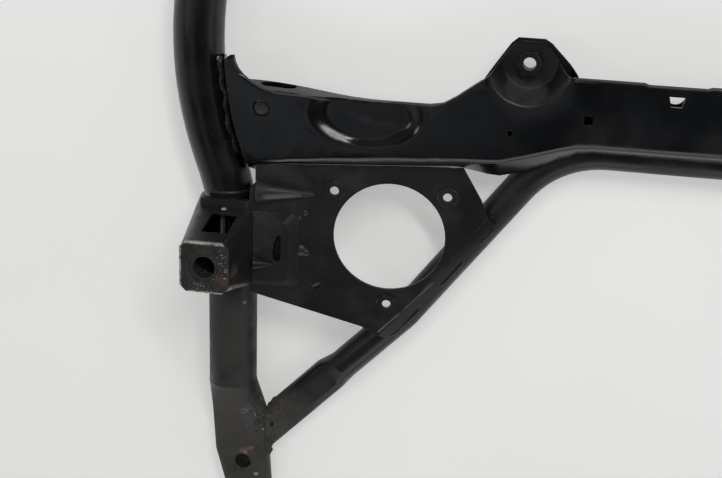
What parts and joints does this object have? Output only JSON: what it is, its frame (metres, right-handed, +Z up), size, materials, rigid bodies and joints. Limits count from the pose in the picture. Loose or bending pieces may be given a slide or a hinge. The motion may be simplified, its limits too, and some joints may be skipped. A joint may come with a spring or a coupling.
{
  "type": "subframe",
  "caption": "Welded steel front subframe with bent tubular side rails, a pressed box cross member with bolt ears, a bent brace tube, drilled mount plates and mount towers.",
  "frame": {"origin": "middle of the box on the ground under the part", "axes": "+X to the right across the vehicle, +Y to the front, +Z up; the part lies on its underside"},
  "size_m": [0.9646, 0.7236, 0.1281],
  "materials": {
    "coat": "satin black coating",
    "worn_coat": "worn and dusty black coating",
    "steel": "dull steel"
  },
  "bodies": {
    "root": {"right_rail": "coat", "left_rail": "coat", "brace": "coat", "upper_shell": "coat", "lower_shell": "coat", "right_plate": "coat", "left_plate": "coat", "right_tower": "coat", "left_tower": "coat", "right_foot": "coat", "left_foot": "coat", "right_ear_nut": "coat", "left_ear_nut": "coat", "right_pad": "worn_coat", "left_pad": "worn_coat", "right_bush": "steel", "left_bush": "steel", "right_rear_sleeve": "steel", "left_rear_sleeve": "steel", "right_front_sleeve": "steel", "left_front_sleeve": "steel"}
  },
  "joints": []
}
